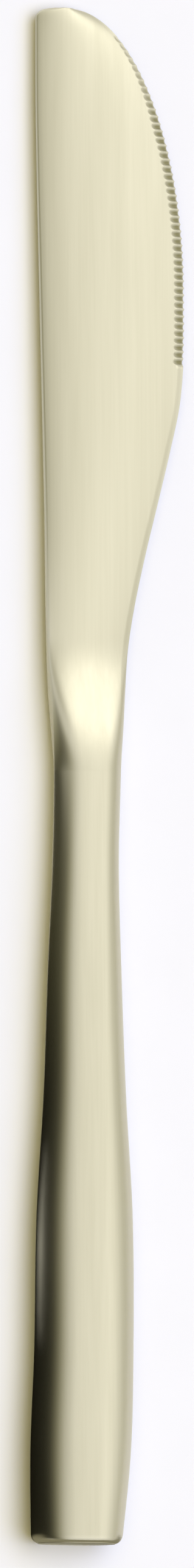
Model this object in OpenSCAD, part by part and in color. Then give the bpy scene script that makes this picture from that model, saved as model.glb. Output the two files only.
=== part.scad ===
// Table knife with a hollow handle, lying on its side as on a laid table.
// All lengths are in millimetres. +Y points to the tip, +X to the cutting edge and +Z up.
// The handle is two pressed half shells, brazed together and to the blade, around the blade's tang.
// The knife rests on the flat under its handle, so its middle plane falls slightly towards the tip.

/* [Handle] */
// Length of the handle, from the butt to the mouth that takes the blade
handle_length = 114; // [106:1:124]
// Width of the handle at its widest
handle_width = 15.5; // [14:0.1:17]
// Width of the neck, where the handle is narrowest
neck_width = 10.2; // [9:0.1:11.5]
// Thickness of the handle at the butt
butt_thickness = 9; // [8.5:0.1:9.6]
// Thickness of the handle at its mouth
neck_thickness = 6.4; // [6:0.1:7]
// How far the handle's centre line bends sideways between the butt and the mouth
centre_bend = 2.1; // [0:0.1:3]
// Rounding of the butt's corners, seen from above
butt_plan_round = 1.5; // [0.6:0.1:3]
// Rounding of the butt's corners, seen from the side
butt_side_round = 1; // [0.6:0.1:2]
// Depth of the flat under the handle, at the butt
flat_depth = 0.15; // [0.08:0.01:0.25]

/* [Blade] */
// Length of the blade, from its shoulder at the handle to the tip
blade_length = 115.8; // [106:0.1:124]
// Width of the blade where the belly starts
blade_width = 22.9; // [20:0.1:25]
// How far the spine leans outwards between the shoulder and the tip
spine_sweep = 2.55; // [0:0.05:4]
// Length of the bolster, where the neck thins out into the blade
bolster_length = 20; // [15:0.5:24]
// Thickness of the spine at the shoulder
spine_thickness = 2.1; // [1.7:0.05:2.6]
// Thickness of the spine at the tip
tip_thickness = 1.1; // [1:0.05:1.5]
// How far the middle of the blade's faces bulges
face_crown = 0.4; // [0.1:0.05:0.6]
// Width of the band along the spine where the faces fall away a little
ease_length = 2.8; // [1:0.1:4]
// Rounding of the spine's corners
spine_round = 0.25; // [0.1:0.05:0.25]
// Thickness of the cutting edge
edge_thickness = 0.4; // [0.25:0.05:0.6]
// Length of the belly, where the edge curves to the tip
belly_length = 41.5; // [32:0.5:48]
// Length of the rounded corner between the spine and the tip
tip_corner_length = 2.2; // [1:0.1:4]
// How far the foremost point lies from the spine
tip_set_in = 5.6; // [3:0.1:8]

/* [Serration] */
// Distance from one groove to the next
groove_pitch = 1.085; // [0.9:0.005:1.4]
// How far a groove reaches in from the edge
groove_length = 1.6; // [1:0.1:2.2]
// How deep a groove is at the edge
groove_depth = 0.3; // [0.2:0.01:0.34]
// How far a groove notches the outline of the edge
notch_depth = 0.15; // [0.05:0.01:0.3]
// Plain blade between the shoulder and the first groove
plain_heel = 62.8; // [50:0.1:70]
// Plain blade between the last groove and the tip
plain_tip = 4.1; // [3:0.1:8]

/* [Inside] */
// Wall of the pressed half shells
shell_wall = 0.7; // [0.5:0.05:1]
// Thickness of the braze between the half shells
seam_thickness = 0.2; // [0.1:0.05:0.4]
// Thickness of the braze between the handle's mouth and the blade's shoulder
mouth_thickness = 0.2; // [0.1:0.05:0.4]
// Length of the tang inside the handle
tang_length = 60; // [40:1:75]
// Width of the tang at the shoulder
tang_width = 6; // [4.5:0.1:6.5]
// Thickness of the tang at the shoulder
tang_thickness = 2.8; // [2:0.1:3.2]
// How much narrower and thinner the tang gets towards its end
tang_taper = 0.8; // [0:0.1:1.2]
// Length of the cement that holds the tang
cement_length = 78; // [76:1:95]
// Clearance around the cement and around the tang
cement_clearance = 0.05; // [0.03:0.01:0.1]

/* [Hidden] */

coated_steel = [0.88, 0.84, 0.70];
braze_alloy = [0.80, 0.76, 0.62];
grey_cement = [0.55, 0.53, 0.50];

// Facets on each half of a cross-section
segments = 12;
// Rings along the handle, past the butt's rounding
handle_steps = 24;
// Rings along the plain blade, along the tang and along the cement
plain_steps = 10;
tang_steps = 6;
cement_steps = 12;

// Squareness of the cross-sections: 2 is an ellipse, and higher is nearer to a rectangle
butt_squareness = 4;
neck_squareness = 4.2;
// Squareness of the handle's sides, which slope to the seam almost straight, as pressed halves do
side_squareness = 1.25;
// Ahead of the shoulder the section grows squarer, slowly at first over the first length and then
// by e over each of the second, and stops after this many times
squaring_start = 3;
squaring_length = 8;
most_growth = 2.5;
// Share of the spine's thickness that the faces fall away by
ease_share = 0.36;
tang_squareness = 6;
// Squareness of the round ends: the butt from above and from the side, the belly and the tip's corner
butt_plan_squareness = 2.2;
butt_side_squareness = 2.2;
belly_squareness = 1.98;
corner_squareness = 3.2;
// The butt and the tip end in a small facet, cut this far in from the full curve
end_facet = 0.04;
tip_facet = 0.02;
// The narrow sides of the tang are flat over this share of its thickness
tang_side_share = 0.35;

// Places along the handle, as shares of its length from the butt
handle_place_shares = [0, 0.12, 0.25, 0.42, 0.58, 0.74, 0.88, 1];
// How far the handle has swelled there, from the neck's width at 0 to the full width at 1
swell_shares = [0.7, 0.99, 0.96, 0.88, 0.48, 0.23, 0.02, 0.04];
// Where the centre line is there, as a share of its bend
bend_shares = [-0.5, -0.16, 0.1, 0.19, 0.23, 0.24, 0.34, 0.5];
// Places along the spine, as shares of the blade's length, and how far the spine has swept there
spine_place_shares = [0.05, 0.16, 0.35, 0.6, 0.85, 1];
sweep_shares = [0.09, 0.4, 0.53, 0.77, 0.99, 1];
// Places along the edge, as shares of the way to the belly, and how far the edge has dropped there
edge_place_shares = [0.08, 0.16, 0.25, 0.34, 0.45, 0.55, 0.66, 0.76, 0.87, 1];
drop_shares = [0.024, 0.055, 0.115, 0.22, 0.395, 0.575, 0.77, 0.925, 0.99, 1];
// Rings around the butt, as shares of its rounding, along the bolster, and from the last groove to the tip
butt_ring_shares = [0, 0.04, 0.1, 0.2, 0.35, 0.55, 0.8];
bolster_ring_shares = [0, 0.08, 0.17, 0.27, 0.37, 0.48, 0.59, 0.7, 0.8, 0.9];
tip_ring_shares = [0.3, 0.55, 0.72, 0.84, 0.92, 0.97, 1];

shoulder_y = handle_length + mouth_thickness;
tip_y = shoulder_y + blade_length;
belly_y = tip_y - belly_length;
corner_y = tip_y - tip_corner_length;
first_groove_y = shoulder_y + plain_heel;
groove_count = 1 + floor((tip_y - plain_tip - first_groove_y) / groove_pitch);
crest_step = groove_pitch / 2;
last_crest_y = first_groove_y + (groove_count - 1) * groove_pitch + crest_step;
lean = (butt_thickness - neck_thickness) / 2 / handle_length;
seam_half = seam_thickness / 2;
edge_half = edge_thickness / 2;

function mix(a, b, share) = a + (b - a) * share;
function ease(share) = let (s = min(max(share, 0), 1)) s * s * (3 - 2 * s);
function turned(list) = [for (i = [len(list) - 1:-1:0]) list[i]];

// Share of the full width at a share of the way into a round end
function round_end(share, squareness) = pow(1 - pow(1 - min(share, 1), squareness), 1 / squareness);

// Smooth curve through values at given places, with the slope of its neighbours at each
function slope(places, values, i) =
    let (before = max(i - 1, 0), after = min(i + 1, len(places) - 1))
    (values[after] - values[before]) / (places[after] - places[before]);
function curve(places, values, y) =
    let (i = max([for (k = [0:len(places) - 2]) if (k == 0 || places[k] <= y) k]),
         span = places[i + 1] - places[i],
         t = (y - places[i]) / span,
         rise = values[i + 1] - values[i],
         leaving = slope(places, values, i) * span,
         arriving = slope(places, values, i + 1) * span)
    values[i] + t * (leaving + t * (3 * rise - 2 * leaving - arriving + t * (leaving + arriving - 2 * rise)));

// Outline of the knife from above: the spine's side and the edge's side, at a distance y from the butt
handle_places = [for (share = handle_place_shares) share * handle_length];
handle_half_widths = [for (share = swell_shares) mix(neck_width, handle_width, share) / 2];
handle_centres = [for (share = bend_shares) share * centre_bend];
handle_ends = len(handle_places) - 1;
mouth_spine_x = handle_centres[handle_ends] - handle_half_widths[handle_ends];
mouth_edge_x = handle_centres[handle_ends] + handle_half_widths[handle_ends];
spine_places = concat(handle_places, [for (share = spine_place_shares) shoulder_y + share * blade_length]);
spine_values = concat(handle_centres - handle_half_widths,
                      [for (share = sweep_shares) mouth_spine_x - share * spine_sweep]);
belly_edge_x = curve(spine_places, spine_values, belly_y) + blade_width;
edge_places = concat(handle_places,
                     [for (share = edge_place_shares) mix(shoulder_y, belly_y, share)]);
edge_values = concat(handle_centres + handle_half_widths,
                     [for (share = drop_shares) mix(mouth_edge_x, belly_edge_x, share)]);
corner_spine_x = curve(spine_places, spine_values, corner_y);
tip_x = corner_spine_x + tip_set_in;
function to_tip(y) = max(tip_y - y, tip_facet);
function spine_x(y) = y <= corner_y ? curve(spine_places, spine_values, y)
    : mix(tip_x, corner_spine_x, round_end(to_tip(y) / tip_corner_length, corner_squareness));
function edge_x(y) = y <= belly_y ? curve(edge_places, edge_values, y)
    : mix(tip_x, belly_edge_x, round_end(to_tip(y) / belly_length, belly_squareness));
function centre_x(y) = (spine_x(y) + edge_x(y)) / 2;

// Middle plane of the knife, which leans so that the handle's underside lies flat
function middle_z(y) = butt_thickness / 2 - lean * y;

// Handle section drawn in by an inset from the skin; side is 1 for the upper half and -1 for the lower
function from_butt(y, inset) = max(y - inset, end_facet);
function handle_across(y, inset) = (edge_x(y) - spine_x(y)) / 2 - inset
    - butt_plan_round * (1 - round_end(from_butt(y, inset) / butt_plan_round, butt_plan_squareness));
function crown(y, inset, side) = side < 0 && inset == 0 ? flat_depth * (1 - y / handle_length) : 0;
function handle_height(y, inset, side) = middle_z(y) - inset + crown(y, inset, side)
    - butt_side_round * (1 - round_end(from_butt(y, inset) / butt_side_round, butt_side_squareness));
function unit_x(k, squareness) = let (c = cos(180 * k / segments)) -sign(c) * pow(abs(c), 2 / squareness);
function unit_z(k, squareness) = pow(sin(180 * k / segments), 2 / squareness);
function handle_half(y, inset, side) =
    let (squareness = mix(butt_squareness, neck_squareness, y / handle_length),
         across = handle_across(y, inset),
         height = handle_height(y, inset, side) - seam_half)
    [for (k = [0:segments])
        [centre_x(y) + across * unit_x(k, squareness), y,
         middle_z(y) + side * (seam_half + height * unit_z(k, side_squareness))]];
function handle_ring(y, inset) = concat(handle_half(y, inset, 1), turned(handle_half(y, inset, -1)));

// Rings of the handle, from the butt to the mouth, and where each lies on the inside of the shells
butt_round = max(butt_plan_round, butt_side_round);
handle_rings = concat([for (share = butt_ring_shares) share * butt_round],
                      [for (i = [0:handle_steps]) mix(butt_round, handle_length, i / handle_steps)]);
function inner_y(y) = mix(shell_wall, handle_length, y / handle_length);

// The neck's section grows squarer ahead of the shoulder, until its sides are as steep as the spine
function squareness_at(ahead) = neck_squareness
    * exp(min(pow(ahead, 2) / (ahead + squaring_start) / squaring_length, most_growth));
function blade_face(x, left, right, spine_half) =
    let (across = (x - left) / (right - left),
         rounding = spine_round * (1 - round_end((x - left) / spine_round, 2)),
         eased = ease_share * spine_half * exp((left - x) / ease_length) * (1 - across))
    mix(spine_half, edge_half, across) + face_crown * 4 * across * (1 - across) - rounding - eased;

// Blade section: the neck's section turns into a wedge along the bolster, and cut is 1 in a groove
function blade_half(y, side, cut) =
    let (left = spine_x(y),
         right = edge_x(y) - cut * notch_depth,
         ahead = y - shoulder_y,
         flatness = ease(ahead / bolster_length),
         squareness = squareness_at(ahead),
         spine_half = mix(spine_thickness, tip_thickness, ahead / blade_length) / 2,
         surplus = (middle_z(shoulder_y) - spine_half) * (1 - flatness),
         land = min(groove_length, (right - left) / 3))
    [for (k = [0:segments])
        let (neck_x = mix(left, right, (1 + unit_x(k, squareness)) / 2),
             wedge_x = k == 0 ? left : k == segments ? right
                 : mix(left + spine_round, right - land, (k - 1) / (segments - 2)),
             x = mix(neck_x, wedge_x, flatness),
             from_middle = min(abs(2 * (x - left) / (right - left) - 1), 1),
             sides = pow(1 - pow(from_middle, squareness), 1 / side_squareness),
             neck_z = mix(seam_half, spine_half + surplus, sides),
             groove = k == segments && side > 0 ? cut * groove_depth : 0,
             wedge_z = blade_face(x, left, right, spine_half) - groove + surplus)
        [x, y, middle_z(y) + side * mix(neck_z, wedge_z, flatness)]];
function blade_ring(y, cut = 0) = concat(blade_half(y, 1, cut), turned(blade_half(y, -1, 0)));

// Section of the tang, grown by a margin
function tang_ring(y, margin) =
    let (taper = tang_taper * (shoulder_y - y) / tang_length,
         across = (tang_width - taper) / 2 + margin,
         height = (tang_thickness - taper) / 2 + margin,
         upper = [for (k = [0:segments])
             [centre_x(y) + across * unit_x(k, tang_squareness), y,
              middle_z(y) + height * max(unit_z(k, tang_squareness), tang_side_share)]],
         lower = [for (p = turned(upper)) [p[0], p[1], 2 * middle_z(y) - p[2]]])
    concat(upper, lower);

// Triangles between rings of equal size, and the facets that close the first and the last
function quad(a, b, c, d) = [[a, b, c], [a, c, d]];
function skin_faces(rings, size, wrap) =
    [for (j = [0:rings - (wrap ? 1 : 2)], i = [0:size - 1])
        let (next = (j + 1) % rings, side = (i + 1) % size)
        each quad(j * size + i, next * size + i, next * size + side, j * size + side)];
function cap_faces(rings, size) =
    [[for (i = [0:size - 1]) i], [for (i = [size - 1:-1:0]) (rings - 1) * size + i]];

// Closed solid skinned over rings; wrap joins the last ring to the first
module skinned(rings, wrap = false, inside_out = false) {
    size = len(rings[0]);
    faces = concat(skin_faces(len(rings), size, wrap), wrap ? [] : cap_faces(len(rings), size));
    polyhedron([for (ring = rings) each ring], inside_out ? [for (f = faces) turned(f)] : faces, 10);
}

// One half of the handle: an outer and an inner skin, closed at the parting plane, the butt and the mouth
module half_shell(side) {
    arc = segments + 1;
    size = 2 * arc;
    last = (len(handle_rings) - 1) * size;
    loops = [for (y = handle_rings)
        concat(handle_half(y, 0, side), turned(handle_half(inner_y(y), shell_wall, side)))];
    butt_faces = [[for (i = [0:arc - 1]) i], [for (i = [arc:size - 1]) i], [arc - 1, arc, size - 1, 0]];
    mouth_faces = [for (i = [0:arc - 2])
        each quad(last + i, last + size - 1 - i, last + size - 2 - i, last + i + 1)];
    faces = concat(skin_faces(len(loops), size, false), butt_faces, mouth_faces);
    polyhedron([for (loop = loops) each loop], side < 0 ? [for (f = faces) turned(f)] : faces, 10);
}

// Rings of the blade as a distance from the butt and whether a groove is cut there
blade_stations = concat(
    [for (share = bolster_ring_shares) [shoulder_y + share * bolster_length, 0]],
    [for (i = [0:plain_steps])
        [mix(shoulder_y + bolster_length, first_groove_y - crest_step, i / plain_steps), 0]],
    [for (i = [0:groove_count - 1], half = [0, 1])
        [first_groove_y + i * groove_pitch + half * crest_step, 1 - half]],
    [for (share = tip_ring_shares) [mix(last_crest_y, tip_y, share), 0]]);

// Moves the knife so that the middle of its box on the table is the origin
low_x = min(concat([for (y = handle_rings) centre_x(y) - handle_across(y, 0)],
                   [for (station = blade_stations) spine_x(station[0])]));
high_x = max([for (station = blade_stations) edge_x(station[0])]);
module placed() {
    translate([-(low_x + high_x) / 2, -tip_y / 2, 0]) children();
}

// Forged blade with its bolster and tang
module blade() {
    tang_rings = [for (i = [0:tang_steps])
        tang_ring(mix(shoulder_y - tang_length, shoulder_y, i / tang_steps), 0)];
    color(coated_steel) placed()
        skinned(concat(tang_rings, [for (station = blade_stations) blade_ring(station[0], station[1])]));
}

// Upper pressed half of the handle
module upper_shell() {
    color(coated_steel) placed() half_shell(1);
}

// Lower pressed half of the handle, with the flat that the knife rests on
module lower_shell() {
    color(coated_steel) placed() difference() {
        half_shell(-1);
        translate([-handle_width, 0, -butt_thickness])
            cube([2 * handle_width, handle_length, butt_thickness]);
    }
}

// Braze between the half shells: down the spine's side, round the butt and up the edge's side
module shell_seam() {
    function rim(y, inset, hand) = [centre_x(y) + hand * handle_across(y, inset), y];
    function seam_ring(y, hand) =
        let (outer = rim(y, 0, hand), inner = rim(inner_y(y), shell_wall, hand))
        [for (corner = [[outer, 1], [outer, -1], [inner, -1], [inner, 1]])
            [corner[0][0], corner[0][1], middle_z(corner[0][1]) + corner[1] * seam_half]];
    color(braze_alloy) placed()
        skinned(concat([for (y = turned(handle_rings)) seam_ring(y, -1)],
                       [for (y = handle_rings) seam_ring(y, 1)]));
}

// Braze between the mouth of the handle and the shoulder of the blade
module mouth_braze() {
    function at_y(ring, y) = [for (p = ring) [p[0], y, p[2]]];
    outer = handle_ring(handle_length, 0);
    inner = handle_ring(handle_length, shell_wall);
    color(braze_alloy) placed()
        skinned([outer, at_y(outer, shoulder_y), at_y(inner, shoulder_y), inner], wrap = true);
}

// Cement that fills the front of the handle around the tang
module tang_cement() {
    inset = shell_wall + cement_clearance;
    bore_y = shoulder_y - tang_length - cement_clearance;
    deep_y = handle_length - cement_length;
    bore = [for (i = [0:tang_steps])
        tang_ring(mix(bore_y, handle_length, i / tang_steps), cement_clearance)];
    outside = [for (i = [0:cement_steps])
        handle_ring(mix(handle_length, deep_y, i / cement_steps), inset)];
    color(grey_cement) placed() skinned(concat(bore, outside), inside_out = true);
}

blade();
upper_shell();
lower_shell();
shell_seam();
mouth_braze();
tang_cement();
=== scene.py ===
"""Table knife with a serrated blade and a hollow handle, in satin champagne steel.

The CAD model is loaded as a fixed frame, and its outer pieces are replaced by finer ones of the same form.
Sizes are in millimetres until a mesh is made, which is in metres. In the knife's own plan y runs from the
butt to the tip, x from the spine to the cutting edge, and z up from the table.
"""
import enum
import logging
import math
from collections.abc import Mapping, Sequence
from dataclasses import dataclass, field
from typing import Any

import bmesh
import bpy
import numpy as np
from mathutils import Matrix, Vector


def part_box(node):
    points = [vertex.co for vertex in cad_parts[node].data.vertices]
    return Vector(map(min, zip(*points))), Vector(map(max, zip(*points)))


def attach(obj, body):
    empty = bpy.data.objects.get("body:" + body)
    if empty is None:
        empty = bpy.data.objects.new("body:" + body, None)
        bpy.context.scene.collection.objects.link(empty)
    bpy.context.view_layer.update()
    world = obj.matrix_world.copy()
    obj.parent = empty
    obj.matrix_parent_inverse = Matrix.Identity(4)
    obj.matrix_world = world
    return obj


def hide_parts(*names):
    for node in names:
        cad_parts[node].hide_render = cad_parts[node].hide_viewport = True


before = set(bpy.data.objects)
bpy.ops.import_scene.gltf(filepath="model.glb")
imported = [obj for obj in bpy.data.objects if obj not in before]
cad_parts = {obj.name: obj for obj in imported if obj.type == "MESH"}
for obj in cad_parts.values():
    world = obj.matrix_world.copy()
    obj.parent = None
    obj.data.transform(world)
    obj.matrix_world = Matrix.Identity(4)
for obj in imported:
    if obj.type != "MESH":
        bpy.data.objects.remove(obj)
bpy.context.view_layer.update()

LOG = logging.getLogger("table_knife")
MM = 0.001
BODY = "root"
# Faces that meet more sharply than this keep a crisp edge between them
CRISP_ANGLE = math.radians(38)


class Side(enum.Enum):
    """Half of the handle."""

    UPPER = 1
    LOWER = -1


class Slot(enum.Enum):
    """Material slot of the record that a piece takes its finish from."""

    STEEL = "coated_steel"
    BRAZE = "coated_braze"


def linear(colour: str, alpha: float = 1.0) -> tuple[float, float, float, float]:
    """Turn an sRGB hex colour into the linear one that a shader takes.

    Args:
        colour: Six hex digits after a hash.
        alpha: Opacity to go with it.

    Returns:
        Linear red, green, blue and alpha.
    """
    channels = [int(colour[i:i + 2], 16) / 255 for i in (1, 3, 5)]
    bent = [c / 12.92 if c <= 0.04045 else ((c + 0.055) / 1.055) ** 2.4 for c in channels]
    return (bent[0], bent[1], bent[2], alpha)


def add_node(tree: bpy.types.NodeTree, kind: str, settings: Mapping[str, Any] | None = None,
             inputs: Mapping[int | str, Any] | None = None) -> bpy.types.Node:
    """Add a node to a tree.

    Args:
        tree: Shader or geometry node tree.
        kind: Type name of the node.
        settings: Properties of the node to set.
        inputs: Sockets by name or index, each with the socket that feeds it or with its own value.

    Returns:
        The new node.
    """
    node = tree.nodes.new(kind)
    for name, value in (settings or {}).items():
        setattr(node, name, value)
    for key, value in (inputs or {}).items():
        if isinstance(value, bpy.types.NodeSocket):
            tree.links.new(value, node.inputs[key])
        else:
            node.inputs[key].default_value = value
    return node


def new_material(name: str) -> tuple[bpy.types.Material, bpy.types.NodeTree]:
    """Make a material whose node tree holds nothing yet.

    Args:
        name: Name of the material.

    Returns:
        The material and its node tree.
    """
    material = bpy.data.materials.new(name)
    material.use_nodes = True
    material.node_tree.nodes.clear()
    return material, material.node_tree


@dataclass(frozen=True)
class SatinSteel:
    """Stainless steel, belt brushed along the knife and then vapour coated in pale champagne.

    The brushing stretches each reflection across the knife, so highlights run as soft bands from butt to
    tip, with faint streaks in them. The coat is thinner where hands and table rub, on the edges.

    Attributes:
        name: Name of the material.
        coat: Colour of the coat.
        deep_coat: Colour in the brushed lines, where the coat lies deeper.
        rubbed: Colour of the rubbed edges.
        ground_and_shade: Colour of the painted shade in the serration's ground grooves.
        roughness: Roughness of the brushed surface.
        roughness_swing: How far the brushed lines take the roughness up and down.
        brushing: How much the brushing stretches a reflection.
        direction: Direction of the brushing, a little off the knife's length.
        line_spacing: Distance between brushed lines in millimetres. The real ones lie 0.05 to 0.1 mm apart,
            too fine to show, so they are drawn coarser.
        line_length: Length of a brushed line in millimetres.
        line_depth: Depth of the brushed lines in millimetres.
        relief: How strongly the lines' depth shows.
        cloud_spacing: Width of the coat's faint clouds in millimetres.
        cloud_length: Length of the clouds in millimetres.
        cloud_share: Share that the clouds have in the coat's colour. The lines have the rest.
    """

    name: str = "satin_champagne_steel"
    coat: str = "#DAD5BE"
    deep_coat: str = "#C8C3AA"
    rubbed: str = "#E4E0CD"
    ground_and_shade: str = "#8F8A68"
    roughness: float = 0.34
    roughness_swing: float = 0.04
    brushing: float = 0.55
    direction: tuple[float, float, float] = (0.03, 1.0, 0.05)
    line_spacing: float = 0.3
    line_length: float = 45.0
    line_depth: float = 0.004
    relief: float = 0.5
    cloud_spacing: float = 2.7
    cloud_length: float = 63.0
    cloud_share: float = 0.6

    def build(self) -> bpy.types.Material:
        """Make the material.

        Returns:
            The material, for pieces whose points carry wear and the grooves' painted shade as numbers from 0
            to 1.
        """
        material, tree = new_material(self.name)
        lines = self._streaks(tree, self.line_spacing, self.line_length)
        clouds = self._streaks(tree, self.cloud_spacing, self.cloud_length)
        line_part = add_node(tree, "ShaderNodeMath", {"operation": "MULTIPLY"},
                             {0: lines, 1: 1 - self.cloud_share}).outputs[0]
        both = add_node(tree, "ShaderNodeMath", {"operation": "MULTIPLY_ADD", "use_clamp": True},
                        {0: clouds, 1: self.cloud_share, 2: line_part}).outputs[0]
        wear, ground_and_shade = (add_node(tree, "ShaderNodeAttribute", {"attribute_name": name}).outputs["Fac"]
                        for name in ("wear", "ground_and_shade"))
        patchy_wear = add_node(tree, "ShaderNodeMath", {"operation": "MULTIPLY", "use_clamp": True},
                               {0: wear, 1: clouds}).outputs[0]
        colour: Any = linear(self.coat)
        # The last mix paints shade into the serration's grooves, darkest where they are deepest
        for share, over in ((both, self.deep_coat), (patchy_wear, self.rubbed), (ground_and_shade, self.ground_and_shade)):
            colour = add_node(tree, "ShaderNodeMix", {"data_type": "RGBA"},
                              {0: share, 6: colour, 7: linear(over)}).outputs[2]
        roughness = add_node(tree, "ShaderNodeMapRange", {}, {
            "Value": both, "To Min": self.roughness - self.roughness_swing,
            "To Max": self.roughness + self.roughness_swing}).outputs[0]
        bump = add_node(tree, "ShaderNodeBump", {}, {
            "Strength": self.relief, "Distance": self.line_depth * MM, "Height": lines}).outputs[0]
        normal = add_node(tree, "ShaderNodeNewGeometry").outputs["Normal"]
        # A reflection is stretched across the brushing
        across = add_node(tree, "ShaderNodeVectorMath", {"operation": "CROSS_PRODUCT"},
                          {0: normal, 1: self.direction}).outputs[0]
        shader = add_node(tree, "ShaderNodeBsdfPrincipled", {}, {
            "Base Color": colour, "Metallic": 1.0, "Roughness": roughness, "Anisotropic": self.brushing,
            "Tangent": across, "Normal": bump})
        add_node(tree, "ShaderNodeOutputMaterial", {}, {"Surface": shader.outputs[0]})
        return material

    @staticmethod
    def _streaks(tree: bpy.types.NodeTree, spacing: float, length: float) -> bpy.types.NodeSocket:
        """Add noise drawn out along the knife.

        Args:
            tree: Node tree to add to.
            spacing: Width of a streak in millimetres.
            length: Length of a streak in millimetres.

        Returns:
            Socket that gives the noise from 0 to 1.
        """
        place = add_node(tree, "ShaderNodeTexCoord").outputs["Object"]
        drawn = add_node(tree, "ShaderNodeMapping", {}, {
            "Vector": place, "Scale": (1 / (spacing * MM), 1 / (length * MM), 1 / (spacing * MM))})
        return add_node(tree, "ShaderNodeTexNoise", {}, {
            "Vector": drawn.outputs[0], "Scale": 1.0, "Detail": 3.0, "Roughness": 0.6}).outputs[0]


@dataclass(frozen=True)
class CastCement:
    """Mineral cement poured into the handle: matte, grey and finely pitted, like fired clay.

    Attributes:
        name: Name of the material.
        body: Main colour.
        sand: Colour of the sand grains.
        grain: Size of a sand grain in millimetres.
        clouds: Size of the sand's clouds, in grains.
        pits: Depth of the pits in millimetres.
        roughness: Roughness of the cast surface.
    """

    name: str = "cast_handle_cement"
    body: str = "#A29C92"
    sand: str = "#7C766C"
    grain: float = 0.25
    clouds: float = 10.0
    pits: float = 0.075
    roughness: float = 0.92

    def build(self) -> bpy.types.Material:
        """Make the material.

        Returns:
            The material.
        """
        material, tree = new_material(self.name)
        place = add_node(tree, "ShaderNodeTexCoord").outputs["Object"]
        grains = add_node(tree, "ShaderNodeTexVoronoi", {}, {
            "Vector": place, "Scale": 1 / (self.grain * MM)}).outputs["Distance"]
        cloud = add_node(tree, "ShaderNodeTexNoise", {}, {
            "Vector": place, "Scale": 1 / (self.clouds * self.grain * MM), "Detail": 4.0}).outputs[0]
        share = add_node(tree, "ShaderNodeMath", {"operation": "MULTIPLY"}, {0: grains, 1: cloud}).outputs[0]
        colour = add_node(tree, "ShaderNodeMix", {"data_type": "RGBA"}, {
            0: share, 6: linear(self.body), 7: linear(self.sand)}).outputs[2]
        bump = add_node(tree, "ShaderNodeBump", {}, {"Distance": self.pits * MM, "Height": grains})
        shader = add_node(tree, "ShaderNodeBsdfPrincipled", {}, {
            "Base Color": colour, "Roughness": self.roughness, "Normal": bump.outputs[0]})
        add_node(tree, "ShaderNodeOutputMaterial", {}, {"Surface": shader.outputs[0]})
        return material


@dataclass(frozen=True)
class StudioSurface:
    """Matte paper of the studio, such as the floor or a card, with a faint tooth.

    Attributes:
        name: Name of the material.
        colour: Main colour.
        tooth: Colour in the tooth of the paper.
        evenly_lit: Whether it shows its colour as if lit evenly all over, whatever the lamps do.
        tooth_scale: How fine the tooth is, in clouds to the metre.
    """

    name: str
    colour: str
    tooth: str
    evenly_lit: bool = False
    tooth_scale: float = 90.0

    def build(self) -> bpy.types.Material:
        """Make the material.

        Returns:
            The material.
        """
        material, tree = new_material(self.name)
        place = add_node(tree, "ShaderNodeTexCoord").outputs["Object"]
        paper = add_node(tree, "ShaderNodeTexNoise", {}, {
            "Vector": place, "Scale": self.tooth_scale}).outputs[0]
        colour = add_node(tree, "ShaderNodeMix", {"data_type": "RGBA"}, {
            0: paper, 6: linear(self.colour), 7: linear(self.tooth)}).outputs[2]
        kind = "ShaderNodeEmission" if self.evenly_lit else "ShaderNodeBsdfDiffuse"
        shader = add_node(tree, kind, {}, {"Color": colour})
        add_node(tree, "ShaderNodeOutputMaterial", {}, {"Surface": shader.outputs[0]})
        return material


def mix(start: Any, end: Any, share: Any) -> Any:
    """Go from start to end by a share of the way."""
    return start + (end - start) * share


def ease(share: Any) -> Any:
    """Ease a share in and out between 0 and 1."""
    held = np.clip(share, 0, 1)
    return held * held * (3 - 2 * held)


def round_end(share: Any, squareness: float) -> Any:
    """Give the share of the full width at a share of the way into a round end."""
    return (1 - (1 - np.minimum(share, 1)) ** squareness) ** (1 / squareness)


def unit_x(share: np.ndarray, squareness: float) -> np.ndarray:
    """Place points from -1 to 1 across the upper half of a unit section."""
    turn = np.cos(math.pi * share)
    return -np.sign(turn) * np.abs(turn) ** (2 / squareness)


def unit_z(share: np.ndarray, squareness: float) -> np.ndarray:
    """Give the height from 0 to 1 of the points that unit_x places."""
    return np.abs(np.sin(math.pi * share)) ** (2 / squareness)


@dataclass(frozen=True)
class SmoothLine:
    """Smooth curve through values at a few places, each passed at the slope of its neighbours.

    Attributes:
        places: Distances from the butt, rising.
        values: Values at those places.
    """

    places: np.ndarray
    values: np.ndarray

    def at(self, y: Any) -> np.ndarray:
        """Follow the curve.

        Args:
            y: Distance or distances from the butt.

        Returns:
            The curve's value at each of them.
        """
        y = np.asarray(y, float)
        last = len(self.places) - 1
        step = np.clip(np.searchsorted(self.places, y, side="right") - 1, 0, last - 1)
        before = np.maximum(np.arange(last + 1) - 1, 0)
        after = np.minimum(np.arange(last + 1) + 1, last)
        slopes = (self.values[after] - self.values[before]) / (self.places[after] - self.places[before])
        span = self.places[step + 1] - self.places[step]
        rise = self.values[step + 1] - self.values[step]
        leaving, arriving = slopes[step] * span, slopes[step + 1] * span
        t = (y - self.places[step]) / span
        bend = 3 * rise - 2 * leaving - arriving + t * (leaving + arriving - 2 * rise)
        return self.values[step] + t * (leaving + t * bend)


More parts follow.
